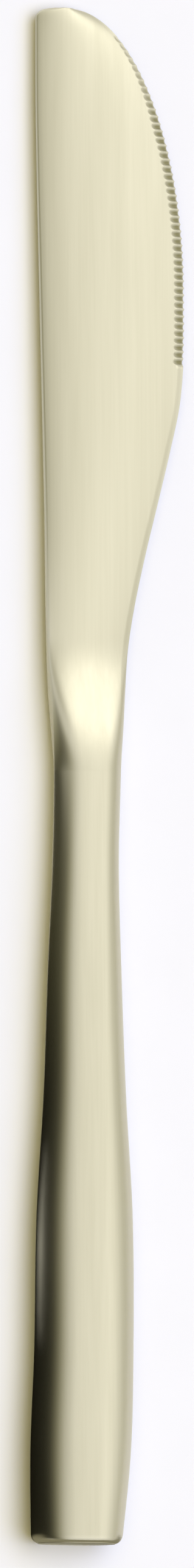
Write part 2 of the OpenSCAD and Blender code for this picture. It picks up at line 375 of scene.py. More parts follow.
@dataclass
class Outline:
    """Outline of the knife from above, and its middle plane, in millimetres.

    The first three lengths come from the frame, and the rest are the sizes that the CAD model was built to.
    Squareness is the power of a round: 2 is an ellipse, and higher is squarer.

    Attributes:
        handle_length: Length from the butt to the mouth of the handle.
        mouth_thickness: Thickness of the braze between the handle and the blade's shoulder.
        blade_length: Length from the shoulder to the tip.
        handle_width: Width of the handle where its swell is 1.
        neck_width: Width of the handle where its swell is 0.
        butt_thickness: Thickness at the butt.
        neck_thickness: Thickness at the mouth.
        seam_thickness: Thickness of the braze between the half shells.
        neck_squareness: Squareness across the section at the neck.
        side_squareness: Squareness of the section's sides, where 1 is a straight slope.
        centre_bend: How far a bend of 1 moves the middle line towards the edge.
        blade_width: Width of the blade where the belly starts.
        spine_sweep: How far the spine sweeps back over its length.
        belly_length: Length of the round belly at the tip.
        tip_corner_length: Length of the round corner between spine and tip.
        tip_set_in: How far the tip lies in from the spine.
        belly_squareness: Squareness of the belly.
        corner_squareness: Squareness of the tip's corner.
        tip_facet: Least distance from the tip at which the width is taken, so that it ends in a small facet.
        place_shares: Places along the handle, as shares of its length.
        swell_shares: Swell of the handle at these places.
        bend_shares: Bend of the middle line at these places.
        spine_shares: Places along the spine, as shares of the blade's length.
        sweep_shares: Sweep of the spine at these places.
        edge_shares: Places along the edge, as shares of the way to the belly.
        drop_shares: Drop of the edge at these places, from the neck to the belly.
        spine: Line of the spine's side.
        edge: Line of the edge's side.
        belly_edge_x: Where the edge is at the start of the belly.
        corner_spine_x: Where the spine is at the start of the tip's corner.
        tip_x: Where the tip is.
    """

    handle_length: float
    mouth_thickness: float
    blade_length: float
    handle_width: float = 15.5
    neck_width: float = 10.2
    butt_thickness: float = 9.0
    neck_thickness: float = 6.4
    seam_thickness: float = 0.2
    neck_squareness: float = 4.2
    side_squareness: float = 1.25
    centre_bend: float = 2.1
    blade_width: float = 22.9
    spine_sweep: float = 2.55
    belly_length: float = 41.5
    tip_corner_length: float = 2.2
    tip_set_in: float = 5.6
    belly_squareness: float = 1.98
    corner_squareness: float = 3.2
    tip_facet: float = 0.02
    place_shares: Sequence[float] = (0, 0.12, 0.25, 0.42, 0.58, 0.74, 0.88, 1)
    swell_shares: Sequence[float] = (0.7, 0.99, 0.96, 0.88, 0.48, 0.23, 0.02, 0.04)
    bend_shares: Sequence[float] = (-0.5, -0.16, 0.1, 0.19, 0.23, 0.24, 0.34, 0.5)
    spine_shares: Sequence[float] = (0.05, 0.16, 0.35, 0.6, 0.85, 1)
    sweep_shares: Sequence[float] = (0.09, 0.4, 0.53, 0.77, 0.99, 1)
    edge_shares: Sequence[float] = (0.08, 0.16, 0.25, 0.34, 0.45, 0.55, 0.66, 0.76, 0.87, 1)
    drop_shares: Sequence[float] = (0.024, 0.055, 0.115, 0.22, 0.395, 0.575, 0.77, 0.925, 0.99, 1)
    spine: SmoothLine = field(init=False)
    edge: SmoothLine = field(init=False)
    belly_edge_x: float = field(init=False)
    corner_spine_x: float = field(init=False)
    tip_x: float = field(init=False)

    @classmethod
    def from_frame(cls) -> "Outline":
        """Read the knife's three lengths off the frame.

        Returns:
            The outline.
        """
        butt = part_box("upper_shell")[0].y
        mouth, shoulder = (corner.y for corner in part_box("mouth_braze"))
        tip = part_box("blade")[1].y
        return cls((mouth - butt) / MM, (shoulder - mouth) / MM, (tip - shoulder) / MM)

    def __post_init__(self) -> None:
        """Lay the two sides of the knife through their points."""
        places = np.array(self.place_shares) * self.handle_length
        half = mix(self.neck_width, self.handle_width, np.array(self.swell_shares)) / 2
        centres = np.array(self.bend_shares) * self.centre_bend
        spine_ends = centres[-1] - half[-1] - np.array(self.sweep_shares) * self.spine_sweep
        self.spine = SmoothLine(
            np.append(places, self.shoulder_y + np.array(self.spine_shares) * self.blade_length),
            np.append(centres - half, spine_ends))
        self.belly_edge_x = float(self.spine.at(self.belly_y)) + self.blade_width
        edge_ends = mix(centres[-1] + half[-1], self.belly_edge_x, np.array(self.drop_shares))
        self.edge = SmoothLine(
            np.append(places, mix(self.shoulder_y, self.belly_y, np.array(self.edge_shares))),
            np.append(centres + half, edge_ends))
        self.corner_spine_x = float(self.spine.at(self.tip_y - self.tip_corner_length))
        self.tip_x = self.corner_spine_x + self.tip_set_in

    @property
    def shoulder_y(self) -> float:
        """Distance from the butt to the blade's shoulder."""
        return self.handle_length + self.mouth_thickness

    @property
    def tip_y(self) -> float:
        """Distance from the butt to the tip."""
        return self.shoulder_y + self.blade_length

    @property
    def belly_y(self) -> float:
        """Distance from the butt to where the belly starts."""
        return self.tip_y - self.belly_length

    def spine_x(self, y: Any) -> np.ndarray:
        """Give the spine's side of the outline.

        Args:
            y: Distance or distances from the butt.

        Returns:
            Place across the knife at each of them.
        """
        to_tip = np.maximum(self.tip_y - np.asarray(y, float), self.tip_facet)
        corner = mix(self.tip_x, self.corner_spine_x,
                     round_end(to_tip / self.tip_corner_length, self.corner_squareness))
        return np.where(to_tip >= self.tip_corner_length, self.spine.at(y), corner)

    def edge_x(self, y: Any) -> np.ndarray:
        """Give the edge's side of the outline.

        Args:
            y: Distance or distances from the butt.

        Returns:
            Place across the knife at each of them.
        """
        to_tip = np.maximum(self.tip_y - np.asarray(y, float), self.tip_facet)
        belly = mix(self.tip_x, self.belly_edge_x,
                    round_end(to_tip / self.belly_length, self.belly_squareness))
        return np.where(to_tip >= self.belly_length, self.edge.at(np.minimum(y, self.belly_y)), belly)

    def centre_x(self, y: Any) -> np.ndarray:
        """Give the middle between spine and edge."""
        return (self.spine_x(y) + self.edge_x(y)) / 2

    def middle_z(self, y: Any) -> Any:
        """Give the height of the middle plane, which falls a little towards the tip."""
        lean = (self.butt_thickness - self.neck_thickness) / 2 / self.handle_length
        return self.butt_thickness / 2 - lean * y


@dataclass
class Placement:
    """Where the knife's plan lies in the frame.

    Attributes:
        shift: What is added to a point in millimetres from the butt and the table.
    """

    shift: np.ndarray

    @classmethod
    def from_frame(cls, outline: Outline, samples: int = 2000) -> "Placement":
        """Set the butt and the edge's furthest point where the frame has them.

        Args:
            outline: Outline of the knife.
            samples: Number of places at which the edge's furthest point is looked for.

        Returns:
            The placement.
        """
        stations = np.linspace(outline.shoulder_y, outline.tip_y, samples)
        reach = float(outline.edge_x(stations).max())
        return cls(np.array([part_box("blade")[1].x / MM - reach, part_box("upper_shell")[0].y / MM, 0.0]))

    def metres(self, points: np.ndarray) -> np.ndarray:
        """Turn points in millimetres of the plan into metres of the frame."""
        return (points + self.shift) * MM


def ring_faces(count: int, size: int, closed: bool) -> list[list[int]]:
    """List the quads between rings of equal size.

    Args:
        count: Number of rings.
        size: Points in a ring.
        closed: Whether the last ring joins the first.

    Returns:
        Corner indices of each quad.
    """
    index = np.arange(count * size).reshape(count, size)
    near = index if closed else index[:-1]
    far = np.roll(index, -1, axis=0) if closed else index[1:]
    quads = np.stack([near, far, np.roll(far, -1, axis=1), np.roll(near, -1, axis=1)], axis=-1)
    return quads.reshape(-1, 4).tolist()


def solid_object(name: str, points: np.ndarray, faces: list[list[int]]) -> bpy.types.Object:
    """Make an object from the faces of a closed solid, with smooth skin and crisp edges.

    Args:
        name: Name of the object and of its mesh.
        points: Corners in metres.
        faces: Corner indices of each face.

    Returns:
        The object, at the origin.
    """
    mesh = bpy.data.meshes.new(name)
    mesh.from_pydata(points.reshape(-1, 3).tolist(), [], faces)
    form = bmesh.new()
    form.from_mesh(mesh)
    bmesh.ops.recalc_face_normals(form, faces=form.faces)
    form.to_mesh(mesh)
    form.free()
    mesh.shade_smooth()
    mesh.set_sharp_from_angle(angle=CRISP_ANGLE)
    piece = bpy.data.objects.new(name, mesh)
    bpy.context.scene.collection.objects.link(piece)
    return piece


def point_attribute(piece: bpy.types.Object, name: str, values: np.ndarray) -> None:
    """Store a number for each point of a piece's mesh, under a name."""
    attribute = piece.data.attributes.new(name, "FLOAT", "POINT")
    attribute.data.foreach_set("value", np.ascontiguousarray(values, np.float32).ravel())


def hand_in(piece: bpy.types.Object, material: bpy.types.Material, slot: Slot, *nodes: str) -> None:
    """Dress a finished piece, let it ride and stand for its CAD nodes, and report it.

    Args:
        piece: The finished object.
        material: Its finish.
        slot: Not used.
        nodes: CAD nodes that the piece stands for.
    """
    piece.data.materials.clear()
    piece.data.materials.append(material)
    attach(piece, BODY)
    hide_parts(*nodes)
    LOG.info("%s: %d faces, for %s", piece.name, len(piece.data.polygons), ", ".join(nodes))


@dataclass
class Handle:
    """Hollow handle: two pressed half shells, the braze between them and the braze at the mouth.

    Sizes are in millimetres, and squareness is as in the outline.

    Attributes:
        outline: Outline of the knife.
        placement: Where the plan lies in the frame.
        shell_wall: Thickness of a shell's wall.
        butt_plan_round: Round of the butt's corners, seen from above.
        butt_side_round: Round of the butt's edges, seen from the side.
        flat_depth: Depth to which the flat underneath is ground at the butt.
        end_facet: Least distance from the butt at which its rounds are taken, so that it ends in a facet.
        butt_squareness: Squareness across the section at the butt.
        butt_round_squareness: Squareness of the butt's two rounds.
        worn_reach: Length over which the wear of the butt's rim fades.
        arc_steps: Steps over half a section.
        butt_steps: Rings in the butt's round.
        long_steps: Rings along the rest.
        shares: Shares of the way over half a section.
        rings: Distances of the rings from the butt.
    """

    outline: Outline
    placement: Placement
    shell_wall: float = 0.7
    butt_plan_round: float = 1.5
    butt_side_round: float = 0.7
    flat_depth: float = 0.15
    end_facet: float = 0.04
    butt_squareness: float = 4.0
    butt_round_squareness: float = 2.2
    worn_reach: float = 0.8
    arc_steps: int = 56
    butt_steps: int = 26
    long_steps: int = 130
    shares: np.ndarray = field(init=False)
    rings: np.ndarray = field(init=False)

    def __post_init__(self) -> None:
        """Share out the points of a section and the rings from the butt to the mouth."""
        self.shares = np.linspace(0, 1, self.arc_steps + 1)
        rounding = max(self.butt_plan_round, self.butt_side_round)
        butt = rounding * np.linspace(0, 1, self.butt_steps, endpoint=False) ** 2
        rest = np.linspace(rounding, self.outline.handle_length, self.long_steps)
        self.rings = np.append(butt, rest)

    def _from_butt(self, y: float, inset: float) -> float:
        """Give the distance to the butt's skin, drawn in by an inset."""
        return max(y - inset, self.end_facet)

    def _inner_y(self, y: float) -> float:
        """Give where a ring of the outer skin lies on the inner one."""
        return mix(self.shell_wall, self.outline.handle_length, y / self.outline.handle_length)

    def _across(self, y: float, inset: float) -> float:
        """Give the section's half width.

        Args:
            y: Distance from the butt.
            inset: How far the section is drawn in from the skin.

        Returns:
            Half the width.
        """
        lost = 1 - round_end(self._from_butt(y, inset) / self.butt_plan_round, self.butt_round_squareness)
        half = (self.outline.edge_x(y) - self.outline.spine_x(y)) / 2
        return float(half - inset - self.butt_plan_round * lost)

    def _height(self, y: float, inset: float, side: Side) -> float:
        """Give the section's half height, with the extra that the underside's flat takes off again.

        Args:
            y: Distance from the butt.
            inset: How far the section is drawn in from the skin.
            side: Which half.

        Returns:
            The height over or under the middle plane.
        """
        flat = self.flat_depth * (1 - y / self.outline.handle_length)
        crown = flat if side is Side.LOWER and inset == 0 else 0
        lost = 1 - round_end(self._from_butt(y, inset) / self.butt_side_round, self.butt_round_squareness)
        return float(self.outline.middle_z(y) - inset + crown - self.butt_side_round * lost)

    def half_section(self, y: float, inset: float, side: Side) -> np.ndarray:
        """Give one half of a section, from the spine's side over to the edge's side.

        Args:
            y: Distance from the butt.
            inset: How far the section is drawn in from the skin.
            side: Which half.

        Returns:
            Points in millimetres of the plan.
        """
        outline = self.outline
        squareness = mix(self.butt_squareness, outline.neck_squareness, y / outline.handle_length)
        seam_half = outline.seam_thickness / 2
        height = self._height(y, inset, side) - seam_half
        rise = seam_half + height * unit_z(self.shares, outline.side_squareness)
        x = outline.centre_x(y) + self._across(y, inset) * unit_x(self.shares, squareness)
        z = np.maximum(outline.middle_z(y) + side.value * rise, 0)
        return np.column_stack([x, np.full_like(x, y), z])

    def build_shell(self, side: Side) -> bpy.types.Object:
        """Build one pressed half shell, with its outer and inner skin closed at their rims.

        Args:
            side: Which half.

        Returns:
            The shell.
        """
        loops = np.array([np.concatenate([self.half_section(y, 0, side),
                                          self.half_section(self._inner_y(y), self.shell_wall, side)[::-1]])
                          for y in self.rings])
        arc = self.arc_steps + 1
        size = 2 * arc
        last = (len(self.rings) - 1) * size
        faces = ring_faces(len(loops), size, closed=False)
        faces += [list(range(arc)), list(range(arc, size)), [arc - 1, arc, size - 1, 0]]
        faces += [[last + i, last + size - 1 - i, last + size - 2 - i, last + i + 1] for i in range(arc - 1)]
        shell = solid_object(f"{side.name.lower()}_half_shell", self.placement.metres(loops), faces)
        point_attribute(shell, "wear", self._wear(loops))
        return shell

    def _wear(self, points: np.ndarray) -> np.ndarray:
        """Let the rim of the butt wear most, and fade over its reach."""
        from_rim = np.abs(points[..., 1] - self.butt_side_round / 2)
        return np.clip(1 - from_rim / self.worn_reach, 0, 1)

    def _seam_corners(self, y: float, hand: int) -> list[list[float]]:
        """Give the four corners of the seam between the half shells.

        Args:
            y: Distance of its outer face from the butt.
            hand: -1 on the spine's side, and 1 on the edge's side.

        Returns:
            Points in millimetres of the plan.
        """
        outline, inner_y = self.outline, self._inner_y(y)
        outer_x = outline.centre_x(y) + hand * self._across(y, 0)
        inner_x = outline.centre_x(inner_y) + hand * self._across(inner_y, self.shell_wall)
        half = outline.seam_thickness / 2
        return [[x, place, outline.middle_z(place) + up * half]
                for x, place, up in ((outer_x, y, 1), (outer_x, y, -1), (inner_x, inner_y, -1),
                                     (inner_x, inner_y, 1))]

    def build_seam(self) -> bpy.types.Object:
        """Build the braze between the half shells, down one side, round the butt and up the other.

        Returns:
            The seam.
        """
        path = np.array([self._seam_corners(y, -1) for y in self.rings[::-1]]
                        + [self._seam_corners(y, 1) for y in self.rings])
        faces = ring_faces(len(path), 4, closed=False)
        last = 4 * (len(path) - 1)
        faces += [[0, 1, 2, 3], [last, last + 1, last + 2, last + 3]]
        return solid_object("handle_seam", self.placement.metres(path), faces)

    def _mouth_loop(self, y: float, inset: float) -> np.ndarray:
        """Give the whole section at the mouth, at another distance from the butt.

        Args:
            y: That distance.
            inset: How far the section is drawn in from the skin.

        Returns:
            Points in millimetres of the plan.
        """
        mouth = self.outline.handle_length
        section = np.concatenate([self.half_section(mouth, inset, Side.UPPER),
                                  self.half_section(mouth, inset, Side.LOWER)[::-1]])
        section[:, 1] = y
        return section

    def build_mouth(self) -> bpy.types.Object:
        """Build the braze between the mouth of the handle and the shoulder of the blade.

        Returns:
            The ring of braze.
        """
        mouth, shoulder, wall = self.outline.handle_length, self.outline.shoulder_y, self.shell_wall
        loops = np.array([self._mouth_loop(y, inset)
                          for y, inset in ((mouth, 0), (shoulder, 0), (shoulder, wall), (mouth, wall))])
        faces = ring_faces(len(loops), loops.shape[1], closed=True)
        return solid_object("mouth_ring", self.placement.metres(loops), faces)

    def dress(self, steel: bpy.types.Material) -> None:
        """Build the handle's pieces and give them their finish.

        Args:
            steel: Finish of the handle, brazes included.
        """
        hand_in(self.build_shell(Side.UPPER), steel, Slot.STEEL, "upper_shell")
        hand_in(self.build_shell(Side.LOWER), steel, Slot.STEEL, "lower_shell")
        hand_in(self.build_seam(), steel, Slot.BRAZE, "shell_seam")
        hand_in(self.build_mouth(), steel, Slot.BRAZE, "mouth_braze")


@dataclass(frozen=True)
class Sum:
    """One sum in a tree of nodes.

    Attributes:
        name: Name of its result.
        operation: What it does.
        terms: Numbers, and names of the tree's inputs, of what its points carry and of earlier results.
        held: Whether its result is held between 0 and 1.
    """

    name: str
    operation: str
    terms: tuple[str | float, ...]
    held: bool = False


# How far a point of the blade sinks in the nearest groove, and how much painted shade it gets
GROOVE_SUMS = (
    Sum("grooved length", "SUBTRACT", ("Last", "First")),
    Sum("pitches", "DIVIDE", ("grooved length", "Pitch")),
    Sum("last groove", "ROUND", ("pitches",)),
    Sum("from first", "SUBTRACT", ("y", "First")),
    Sum("phase", "DIVIDE", ("from first", "Pitch")),
    Sum("closest", "ROUND", ("phase",)),
    Sum("not before first", "MAXIMUM", ("closest", 0.0)),
    Sum("groove", "MINIMUM", ("not before first", "last groove")),
    Sum("off groove", "SUBTRACT", ("phase", "groove")),
    Sum("off centre", "ABSOLUTE", ("off groove",)),
    Sum("half widths", "MULTIPLY", ("off centre", 2.0)),
    Sum("up the wall", "MINIMUM", ("half widths", 1.0)),
    Sum("wall", "POWER", ("up the wall", "Trough")),
    # The grooves get smaller towards the tip
    Sum("to last", "SUBTRACT", ("Last", "y")),
    Sum("unfaded", "DIVIDE", ("to last", "Fade"), held=True),
    Sum("faded share", "SUBTRACT", (1.0, "Least")),
    Sum("size", "MULTIPLY_ADD", ("unfaded", "faded share", "Least")),
    Sum("length", "MULTIPLY", ("Reach", "size")),
    Sum("inward", "DIVIDE", ("edge_gap", "length")),
    Sum("up the end", "MINIMUM", ("inward", 1.0)),
    Sum("end", "POWER", ("up the end", "Blunt")),
    Sum("open", "SUBTRACT", (1.0, "end")),
    Sum("cut", "SUBTRACT", ("open", "wall"), held=True),
    Sum("sized cut", "MULTIPLY", ("cut", "size")),
    Sum("sunk", "MULTIPLY", ("sized cut", "upper")),
    Sum("deep", "MULTIPLY", ("sunk", "Depth")),
    Sum("drop", "MULTIPLY", ("deep", -1.0)),
    # A high power keeps the notch close to the edge
    Sum("near edge", "SUBTRACT", (1.0, "inward"), held=True),
    Sum("at edge", "POWER", ("near edge", 6.0)),
    Sum("notched", "MULTIPLY", ("sized cut", "at edge")),
    Sum("notch", "MULTIPLY", ("notched", "Notch")),
    Sum("pull", "MULTIPLY", ("notch", -1.0)),
    # The painted shade starts where a groove has about 0.3 of its depth, and ends at the rim
    Sum("off rim", "DIVIDE", ("edge_gap", "Rim"), held=True),
    Sum("marked", "MULTIPLY_ADD", ("sunk", 1.7, -0.5), held=True),
    Sum("ground_and_shade", "MULTIPLY", ("marked", "off rim")),
)


@dataclass(frozen=True)
class Serration:
    """Grooves ground into one face of the blade, side by side along its belly, in millimetres.

    Each groove is a short trough with steep walls and a blunt inner end.

    Attributes:
        first_y: Distance from the butt to the first groove.
        end_y: Distance from the butt to where the grooves have to end.
        pitch: Distance from one groove to the next.
        reach: How far a groove reaches in from the edge.
        depth: Depth of a groove at the edge.
        notch: How far a groove notches the outline.
        fade: Length over which the grooves get smaller, up to the last one.
        least: Share of the full groove that the last one has.
        trough: Roundness of the trough: 2 is a parabola, and higher has steeper walls.
        blunt: Bluntness of the groove's inner end: 1 runs out to a point, and higher ends more squarely.
        rim: Width along the edge over which the grooves' painted shade fades out, so that they are bright
            again.
    """

    first_y: float
    end_y: float
    pitch: float = 1.085
    reach: float = 1.7
    depth: float = 0.24
    notch: float = 0.14
    fade: float = 13.0
    least: float = 0.38
    trough: float = 2.0
    blunt: float = 4.0
    rim: float = 0.3

    @property
    def count(self) -> int:
        """Number of grooves that fit."""
        return 1 + int((self.end_y - self.first_y) // self.pitch)

    @property
    def last_y(self) -> float:
        """Distance from the butt to the last groove."""
        return self.first_y + (self.count - 1) * self.pitch

    def tree(self) -> tuple[bpy.types.GeometryNodeTree, dict[str, str]]:
        """Make the node tree that sinks the grooves into a blade.

        The blade's points carry edge_gap, their distance in from the edge, and upper, which is 1 on the face
        that is ground and 0 on the other.

        Returns:
            The tree, and the identifier of each of its inputs by name.
        """
        tree = bpy.data.node_groups.new("ground_serration", "GeometryNodeTree")
        tree.is_modifier = True
        numbers = ("First", "Last", "Pitch", "Reach", "Depth", "Notch", "Fade", "Least", "Trough", "Blunt",
                   "Rim")
        sockets = {"Geometry": "NodeSocketGeometry", **dict.fromkeys(numbers, "NodeSocketFloat"),
                   "Material": "NodeSocketMaterial"}
        names = {name: tree.interface.new_socket(name=name, in_out="INPUT", socket_type=kind).identifier
                 for name, kind in sockets.items()}
        tree.interface.new_socket(name="Geometry", in_out="OUTPUT", socket_type="NodeSocketGeometry")
        given = add_node(tree, "NodeGroupInput").outputs
        known: dict[Any, Any] = {name: given[name] for name in numbers}
        place = add_node(tree, "GeometryNodeInputPosition").outputs[0]
        known["y"] = add_node(tree, "ShaderNodeSeparateXYZ", {}, {0: place}).outputs["Y"]
        for name in ("edge_gap", "upper"):
            known[name] = add_node(tree, "GeometryNodeInputNamedAttribute", {"data_type": "FLOAT"},
                                   {"Name": name}).outputs["Attribute"]
        for step in GROOVE_SUMS:
            terms = {i: known.get(term, term) for i, term in enumerate(step.terms)}
            known[step.name] = add_node(tree, "ShaderNodeMath", {
                "operation": step.operation, "use_clamp": step.held}, terms).outputs[0]
        offset = add_node(tree, "ShaderNodeCombineXYZ", {}, {0: known["pull"], 2: known["drop"]}).outputs[0]
        moved = add_node(tree, "GeometryNodeSetPosition", {}, {
            "Geometry": given["Geometry"], "Offset": offset}).outputs[0]
        # Stores the grooves' painted shade for the material to darken them
        marked = add_node(tree, "GeometryNodeStoreNamedAttribute", {
            "data_type": "FLOAT", "domain": "POINT"}, {
            "Geometry": moved, "Name": "ground_and_shade", "Value": known["ground_and_shade"]}).outputs[0]
        real = add_node(tree, "GeometryNodeRealizeInstances", {}, {0: marked}).outputs[0]
        dressed = add_node(tree, "GeometryNodeSetMaterial", {}, {
            "Geometry": real, "Material": given["Material"]}).outputs[0]
        add_node(tree, "NodeGroupOutput", {}, {0: dressed})
        return tree, names

    def grind(self, blade: bpy.types.Object, placement: Placement, steel: bpy.types.Material) -> None:
        """Sink the grooves into a blade and leave it a plain mesh.

        Args:
            blade: Blade whose points carry edge_gap and upper.
            placement: Where the plan lies in the frame.
            steel: Finish of the blade.
        """
        tree, names = self.tree()
        modifier = blade.modifiers.new("serration", "NODES")
        modifier.node_group = tree
        butt_y = placement.shift[1]
        sizes = {"First": (self.first_y + butt_y) * MM, "Last": (self.last_y + butt_y) * MM,
                 "Pitch": self.pitch * MM, "Reach": self.reach * MM, "Depth": self.depth * MM,
                 "Notch": self.notch * MM, "Fade": self.fade * MM, "Least": self.least,
                 "Trough": self.trough, "Blunt": self.blunt, "Rim": self.rim * MM, "Material": steel}
        for name, value in sizes.items():
            modifier[names[name]] = value
        evaluated = blade.evaluated_get(bpy.context.evaluated_depsgraph_get())
        plain = bpy.data.meshes.new_from_object(evaluated)
        blade.modifiers.remove(modifier)
        blade.data = plain
        plain.name = blade.name


@dataclass
class Blade:
    """Forged blade with its bolster, which grows out of the neck, and the tang inside the handle.

    Sizes are in millimetres, and squareness is as in the outline.

    Attributes:
        outline: Outline of the knife.
        placement: Where the plan lies in the frame.
        bolster_length: Length over which the neck's section turns into the blade's.
        squaring_start: Length after which the neck's section starts to square up.
        squaring_length: Length over which it squares up.
        most_growth: Most that it squares up, as a power of e.
        spine_thickness: Thickness of the spine at the shoulder.
        tip_thickness: Thickness of the spine at the tip.
        spine_round: Round of the spine's corners.
        edge_thickness: Thickness of the edge.
        bevel_width: Width of the bevel along the edge.
        bevel_drop: How far the bevel drops on each face.
        bevel_fade: Length before the tip over which the bevel fades.
        face_crown: Height of each face's crown.
        ease_share: Share of the spine's half thickness that the face loses towards the spine.
        ease_length: Length over which it loses it.
        land: Width along the edge in which the points lie closest.
        most_land: Largest share of the blade's width that this may be.
        plain_heel: Length from the shoulder without serration.
        plain_tip: Length before the tip without serration.
        tang_length: Length of the tang.
        tang_width: Width of the tang at the shoulder.
        tang_thickness: Thickness of the tang at the shoulder.
        tang_taper: How much narrower and thinner its end is.
        tang_squareness: Squareness of its section.
        tang_side_share: Least share of its thickness that its sides have.
        tang_rings: Rings along the tang.
        corner_share: Share of half a section's points in the spine's corner, and as many in the land.
        corner_steps: Steps over the spine's corner.
        face_steps: Steps over the face.
        land_steps: Steps over the land.
        rings_a_groove: Rings in each groove of the serration.
        bolster_steps: Rings along the bolster.
        plain_steps: Rings from there to the serration.
        tip_steps: Rings ahead of the serration.
        shares: Shares of the way over half a section.
        serration: The grooves in its edge.
    """

    outline: Outline
    placement: Placement
    bolster_length: float = 20.0
    squaring_start: float = 3.0
    squaring_length: float = 8.0
    most_growth: float = 2.5
    spine_thickness: float = 2.1
    tip_thickness: float = 1.1
    spine_round: float = 0.25
    edge_thickness: float = 0.22
    bevel_width: float = 0.9
    bevel_drop: float = 0.1
    bevel_fade: float = 18.0
    face_crown: float = 0.4
    ease_share: float = 0.36
    ease_length: float = 2.8
    land: float = 2.4
    most_land: float = 1 / 3
    plain_heel: float = 62.8
    plain_tip: float = 4.1
    tang_length: float = 60.0
    tang_width: float = 6.0
    tang_thickness: float = 2.8
    tang_taper: float = 0.8
    tang_squareness: float = 6.0
    tang_side_share: float = 0.35
    tang_rings: int = 9
    corner_share: float = 1 / 12
    corner_steps: int = 6
    face_steps: int = 26
    land_steps: int = 20
    rings_a_groove: int = 12
    bolster_steps: int = 64
    plain_steps: int = 70
    tip_steps: int = 48
    shares: np.ndarray = field(init=False)
    serration: Serration = field(init=False)

    def __post_init__(self) -> None:
        """Share out the points of a section, from the spine's corner over the face to the edge."""
        corner = np.linspace(0, self.corner_share, self.corner_steps + 1)
        face = np.linspace(self.corner_share, 1 - self.corner_share, self.face_steps + 1)
        land = np.linspace(1 - self.corner_share, 1, self.land_steps + 1)
        self.shares = np.concatenate([corner[:-1], face[:-1], land])
        self.serration = Serration(self.outline.shoulder_y + self.plain_heel,
                                   self.outline.tip_y - self.plain_tip)

    def _stations(self) -> np.ndarray:
        """Place the rings, closest together in the serration and at the tip.

        Returns:
            Distances of the rings from the butt.
        """
        grooves = self.serration
        shoulder, tip = self.outline.shoulder_y, self.outline.tip_y
        bolster = np.linspace(shoulder, shoulder + self.bolster_length, self.bolster_steps, endpoint=False)
        start, end = grooves.first_y - grooves.pitch / 2, grooves.last_y + grooves.pitch / 2
        plain = np.linspace(shoulder + self.bolster_length, start, self.plain_steps, endpoint=False)
        ground_and_shade = np.linspace(start, end, grooves.count * self.rings_a_groove, endpoint=False)
        ahead = np.linspace(1, 0, self.tip_steps) ** 2
        return np.concatenate([bolster, plain, ground_and_shade, tip - (tip - end) * ahead])

    def _spine_half(self, y: float) -> float:
        """Give half the thickness of the spine."""
        along = (y - self.outline.shoulder_y) / self.outline.blade_length
        return mix(self.spine_thickness, self.tip_thickness, along) / 2

    def _places(self, left: float, right: float) -> np.ndarray:
        """Share out the points of the blade's own section.

        Args:
            left: Where the spine is.
            right: Where the edge is.

        Returns:
            Places across.
        """
        land = min(self.land, self.most_land * (right - left))
        corner = np.clip(self.shares / self.corner_share, 0, 1) * math.pi / 2
        face = np.clip((self.shares - self.corner_share) / (1 - 2 * self.corner_share), 0, 1)
        to_edge = np.clip((self.shares - 1 + self.corner_share) / self.corner_share, 0, 1)
        start = left + self.spine_round * (1 - np.cos(corner))
        return start + (right - land - left - self.spine_round) * face + land * to_edge

    def _face(self, y: float, left: float, right: float, x: np.ndarray) -> np.ndarray:
        """Give the blade's own section, a crowned wedge with a bevel and a rounded spine.

        Args:
            y: Distance from the butt.
            left: Where the spine is.
            right: Where the edge is.
            x: Places across.

        Returns:
            Heights over the middle plane.
        """
        across = (x - left) / (right - left)
        faded = ease((self.outline.tip_y - y) / self.bevel_fade)
        bevel = self.bevel_drop * faded * np.clip(1 - (right - x) / self.bevel_width, 0, 1)
        rounding = self.spine_round * (1 - round_end((x - left) / self.spine_round, 2))
        eased = self.ease_share * self._spine_half(y) * np.exp((left - x) / self.ease_length) * (1 - across)
        return (mix(self._spine_half(y), self.edge_thickness / 2 + self.bevel_drop * faded, across) - bevel
                + self.face_crown * 4 * across * (1 - across) - rounding - eased)

    def _ring(self, y: float) -> tuple[np.ndarray, np.ndarray]:
        """Give a ring of the blade or its bolster.

        Args:
            y: Distance from the butt.

        Returns:
            Points in millimetres of the plan, and the distance of each from the edge.
        """
        left, right = float(self.outline.spine_x(y)), float(self.outline.edge_x(y))
        ahead = y - self.outline.shoulder_y
        flatness = ease(ahead / self.bolster_length)
        growth = ahead ** 2 / (ahead + self.squaring_start) / self.squaring_length
        squareness = self.outline.neck_squareness * math.exp(min(growth, self.most_growth))
        neck_x = mix(left, right, (1 + unit_x(self.shares, squareness)) / 2)
        x = mix(neck_x, self._places(left, right), flatness)
        spine_half, seam_half = self._spine_half(y), self.outline.seam_thickness / 2
        surplus = (self.outline.middle_z(self.outline.shoulder_y) - spine_half) * (1 - flatness)
        from_middle = np.clip(np.abs(2 * (x - left) / (right - left) - 1), 0, 1)
        sides = (1 - from_middle ** squareness) ** (1 / self.outline.side_squareness)
        neck_z = mix(seam_half, spine_half + surplus, sides)
        z = mix(neck_z, self._face(y, left, right, x) + surplus, flatness)
        return self._both_faces(x, y, z), np.concatenate([right - x, (right - x)[::-1]])

    def _both_faces(self, x: np.ndarray, y: float, z: np.ndarray) -> np.ndarray:
        """Join the upper half of a ring to its mirror image.

        Args:
            x: Places across.
            y: Distance from the butt.
            z: Heights over the middle plane.

        Returns:
            Points in millimetres of the plan.
        """
        middle = self.outline.middle_z(y)
        upper = np.column_stack([x, np.full_like(x, y), middle + z])
        lower = np.column_stack([x, np.full_like(x, y), middle - z])[::-1]
        return np.concatenate([upper, lower])

    def _tang_ring(self, y: float) -> np.ndarray:
        """Give a ring of the tang.

        Args:
            y: Distance from the butt.

        Returns:
            Points in millimetres of the plan.
        """
        taper = self.tang_taper * (self.outline.shoulder_y - y) / self.tang_length
        across = (self.tang_width - taper) / 2 * unit_x(self.shares, self.tang_squareness)
        height = np.maximum(unit_z(self.shares, self.tang_squareness), self.tang_side_share)
        z = (self.tang_thickness - taper) / 2 * height
        return self._both_faces(self.outline.centre_x(y) + across, y, z)

